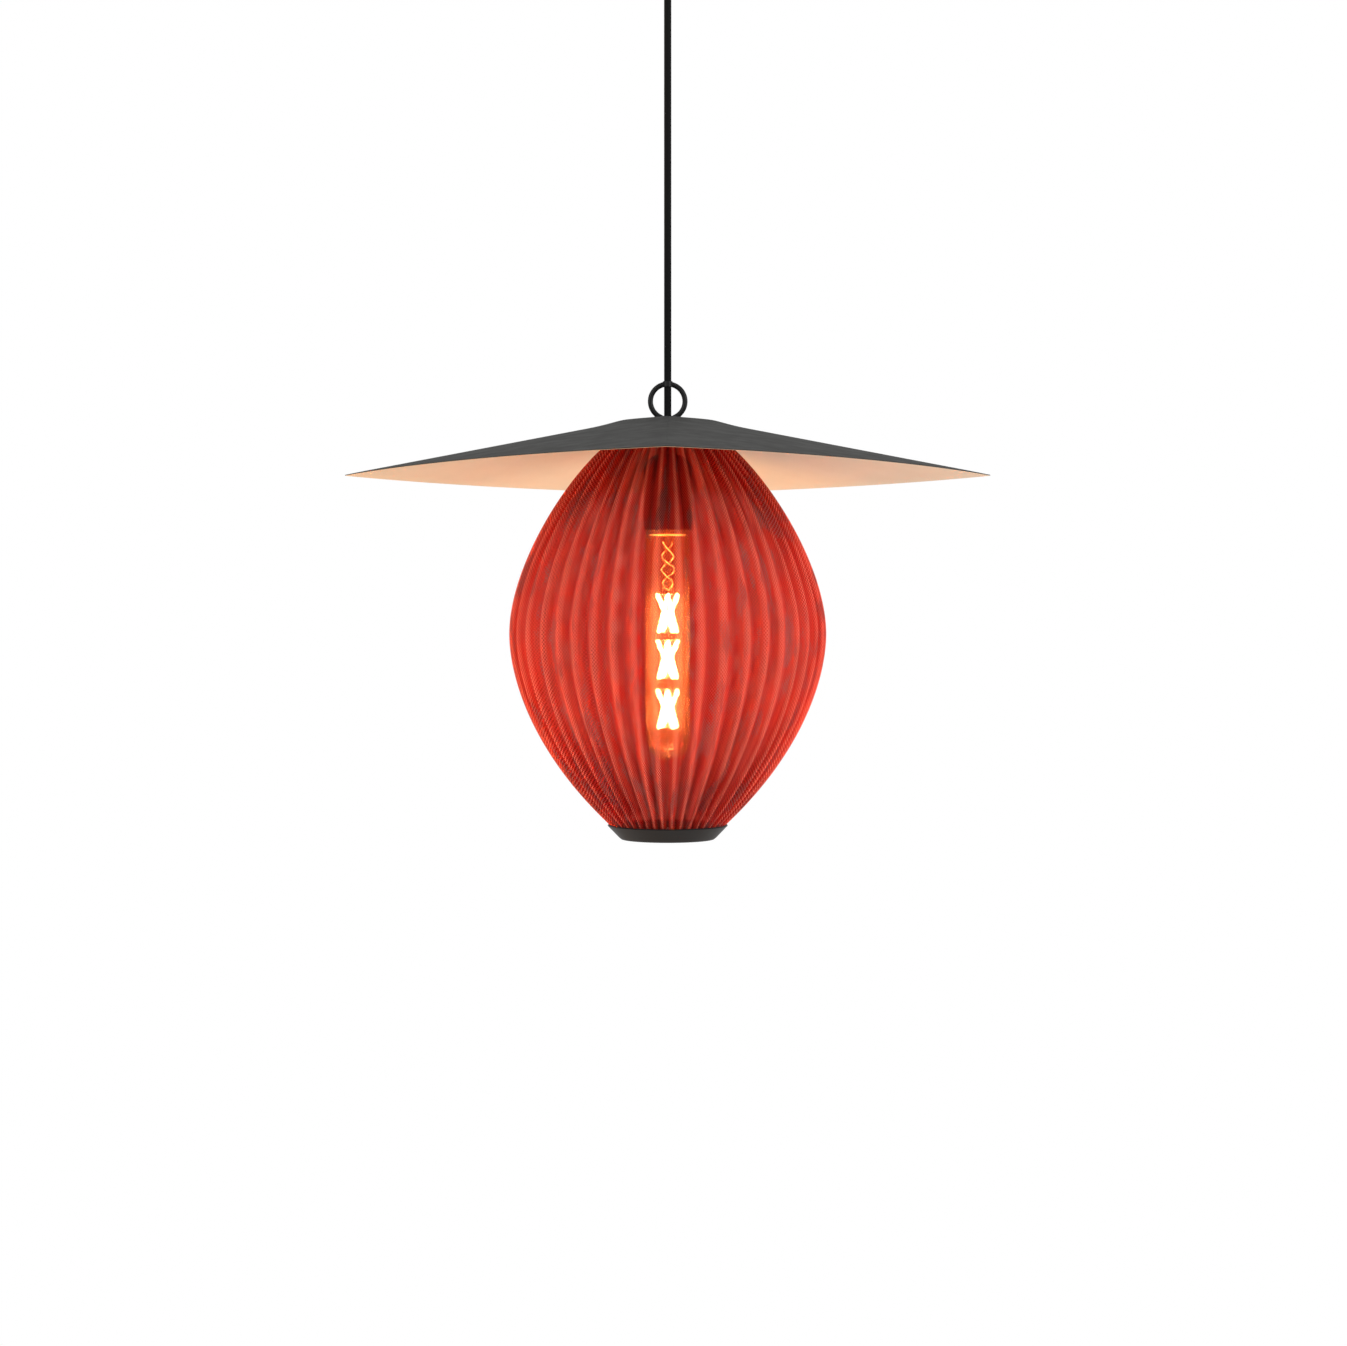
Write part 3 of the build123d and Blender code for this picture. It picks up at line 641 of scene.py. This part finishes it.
def capsule(name, start, end, radius):
    """A rod with round ends."""
    start, end = Vector(start), Vector(end)
    along = (end - start).normalized()
    side = along.orthogonal().normalized()
    up = along.cross(side)
    rings = []
    turns = [math.pi / 2 * k / CAPSULE_STEPS for k in range(CAPSULE_STEPS + 1)]
    for turn in turns:
        rings.append((start - along * radius * math.cos(turn), radius * math.sin(turn)))
    for turn in reversed(turns):
        rings.append((end + along * radius * math.cos(turn), radius * math.sin(turn)))
    vertices, faces = [], []
    sides = CAPSULE_SIDES
    for centre, size in rings:
        # The two end rings keep a hair's width, so that no face collapses.
        size = max(size, radius * 0.02)
        for i in range(sides):
            turn = 2 * math.pi * i / sides
            vertices.append(tuple(centre + (side * math.cos(turn) + up * math.sin(turn)) * size))
    for row in range(len(rings) - 1):
        for i in range(sides):
            low, high, j = row * sides, (row + 1) * sides, (i + 1) % sides
            faces.append((low + i, low + j, high + j, high + i))
    faces.append(tuple(reversed(range(sides))))
    faces.append(tuple(range(len(vertices) - sides, len(vertices))))
    return new_object(name, vertices, faces)


def add_filaments(glow):
    """Three bundles of four glowing filaments, each leaning round the bulb's axis."""
    names = ("filaments_upper", "filaments_middle", "filaments_lower")
    for node, top in zip(names, BUNDLE_TOPS):
        rods = []
        for number in range(4):
            turn = math.pi / 2 * number
            upper = (BUNDLE_R * math.cos(turn), BUNDLE_R * math.sin(turn), top - FILAMENT_INSET)
            turn += BUNDLE_TWIST
            foot = top - BUNDLE_HEIGHT + FILAMENT_INSET
            lower = (BUNDLE_R * math.cos(turn), BUNDLE_R * math.sin(turn), foot)
            rods.append(capsule(f"{node}_{number}", upper, lower, FILAMENT_R))
        bundle = joined(f"lit_{node}", rods)
        paint(bundle, glow)
        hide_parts(node)
        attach(bundle, "bulb")


def add_stem_wires(painted_glow):
    """Two wires twisted round the glass stem above the filaments, with a painted glow."""
    wires = []
    for number in range(2):
        points = []
        for i in range(WIRE_STEPS + 1):
            share = i / WIRE_STEPS
            turn = 2 * math.pi * (WIRE_TURNS * share + number / 2)
            radius = WIRE_REACH + WIRE_SWELL * math.sin(math.pi * share) ** 2
            height = HAT_Z - WIRE_START - WIRE_LENGTH * share
            points.append((radius * math.cos(turn), radius * math.sin(turn), height))
        wires.append(tube(f"stem_wire_{number}", points, WIRE_R))
    pair = joined("stem_wires", wires)
    paint(pair, painted_glow)
    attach(pair, "bulb")


# ---- CAD pieces that show as they are ----

def finish_nodes():
    """Gives each carried-over piece its own material."""
    black = coated("black_satin_paint", (0.010, 0.010, 0.010), 0.4, grain=1300, depth=0.03, shine=0.25)
    canopy = coated("canopy_paint", (0.012, 0.012, 0.012), 0.45, grain=1300, depth=0.04, shine=0.25)
    moulded = coated("black_moulding", (0.012, 0.012, 0.012), 0.5, grain=2200, depth=0.05, shine=0.3)
    steel = brushed("zinc_steel", (0.62, 0.63, 0.65))
    brass = brushed("contact_brass", (0.80, 0.58, 0.26), 0.25)
    nickel = brushed("cap_nickel", (0.76, 0.74, 0.70), 0.22)
    # The heat disc gets a painted glow.
    gold_painted_glow = glowing("gold_disc_painted_glow", (0.98, 0.60, 0.14), GOLD_PAINTED_GLOW)
    white = coated("white_moulding", (0.80, 0.78, 0.72), 0.35, coat=0.3)
    brown = coated("brown_insulation", (0.20, 0.09, 0.04), 0.4)
    blue = coated("blue_insulation", (0.02, 0.10, 0.42), 0.4)
    green = coated("green_insulation", (0.22, 0.38, 0.05), 0.4)
    button = coated("dark_glass", (0.02, 0.02, 0.025), 0.12, coat=0.6)
    cover = braided("cord_tail_cover", (0.008, 0.008, 0.008))
    nodes_by_material = {
        black: ("hanging_ring", "base_ring", "cloth_clamp_foot", "cloth_clamp_top", "lantern_carrier"),
        canopy: ("canopy_cup",),
        moulded: ("cord_grip", "holder_cap", "holder_skirt"),
        steel: ("ceiling_bracket", "canopy_screws", "grip_screw", "grip_nut", "terminal_screws",
                "nipple", "hat_washer", "hat_nut", "carrier_nut_upper", "carrier_nut_lower",
                "clamp_screws", "base_screws", "neck_screw"),
        brass: ("screw_shell", "holder_contact", "side_contact"),
        nickel: ("bulb_cap", "bulb_contact", "filament_supports"),
        gold_painted_glow: ("heat_disc",),
        white: ("terminal_block", "holder_insert"),
        brown: ("core_live", "holder_wires"),
        blue: ("core_neutral",),
        green: ("core_earth",),
        button: ("bulb_insulator",),
        cover: ("cord_tail",),
        clear_glass("bulb_glass_clear", (1.0, 0.96, 0.88), 0.07): ("bulb_glass",),
        clear_glass("stem_glass_clear", (1.0, 0.93, 0.82), 0.1): ("bulb_stem",),
    }
    for material, nodes in nodes_by_material.items():
        for node in nodes:
            paint(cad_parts[node], material)


# ---- stage and light ----

FLOOR_Z = -2.4
FLOOR_R = 2.6
WHITE_SEEN = 1.0
WHITE_LIGHT = 0.55


def add_area(name, place, aim, size, power, colour=(1, 1, 1)):
    data = bpy.data.lights.new(name, "AREA")
    data.shape = "DISK"
    data.size = size
    data.energy = power
    data.color = colour
    light = bpy.data.objects.new(name, data)
    light.location = place
    light.rotation_euler = (Vector(aim) - Vector(place)).to_track_quat("-Z", "Y").to_euler()
    bpy.context.scene.collection.objects.link(light)


def add_stage():
    """A pale floor, a white surround and large soft lights."""
    floor = disc("floor", FLOOR_R, FLOOR_Z)
    paint(floor, coated("floor_paint", (0.86, 0.86, 0.86), 0.8, spread=0.01))
    world = bpy.data.worlds.new("white_surround")
    world.use_nodes = True
    tree = world.node_tree
    tree.nodes.clear()
    seen = tree.nodes.new("ShaderNodeBackground")
    seen.inputs["Color"].default_value = (1, 1, 1, 1)
    seen.inputs["Strength"].default_value = WHITE_SEEN
    light = tree.nodes.new("ShaderNodeBackground")
    light.inputs["Color"].default_value = (1, 1, 1, 1)
    light.inputs["Strength"].default_value = WHITE_LIGHT
    path = tree.nodes.new("ShaderNodeLightPath")
    mix = tree.nodes.new("ShaderNodeMixShader")
    out = tree.nodes.new("ShaderNodeOutputWorld")
    tree.links.new(path.outputs["Is Camera Ray"], mix.inputs["Fac"])
    tree.links.new(light.outputs[0], mix.inputs[1])
    tree.links.new(seen.outputs[0], mix.inputs[2])
    tree.links.new(mix.outputs[0], out.inputs["Surface"])
    bpy.context.scene.world = world
    lamp = (0, 0, HAT_Z - 0.2)
    add_area("soft_left", (-2.0, -1.8, HAT_Z + 0.9), lamp, 1.2, 18)
    add_area("soft_right", (2.2, -1.4, HAT_Z + 0.7), lamp, 1.2, 24)
    add_area("warm_below_left", (-1.4, 0.15, HAT_Z - 1.0), lamp, 0.6, 18, (1.0, 0.48, 0.12))
    add_area("pale_below_right", (1.4, 0.15, HAT_Z - 1.0), lamp, 0.6, 12, (1.0, 0.68, 0.48))


def main():
    bpy.context.scene.view_settings.view_transform = "Standard"
    add_camera()
    add_cord()
    add_hat()
    add_cloth()
    finish_nodes()
    add_filaments(glowing("filament_glow", (1.0, 0.68, 0.32), FILAMENT_LIGHT))
    # The stem wires get a painted glow, though they give no light.
    add_stem_wires(glowing("warm_wire_painted_glow", (0.98, 0.62, 0.20), GOLD_PAINTED_GLOW))
    add_stage()


main()
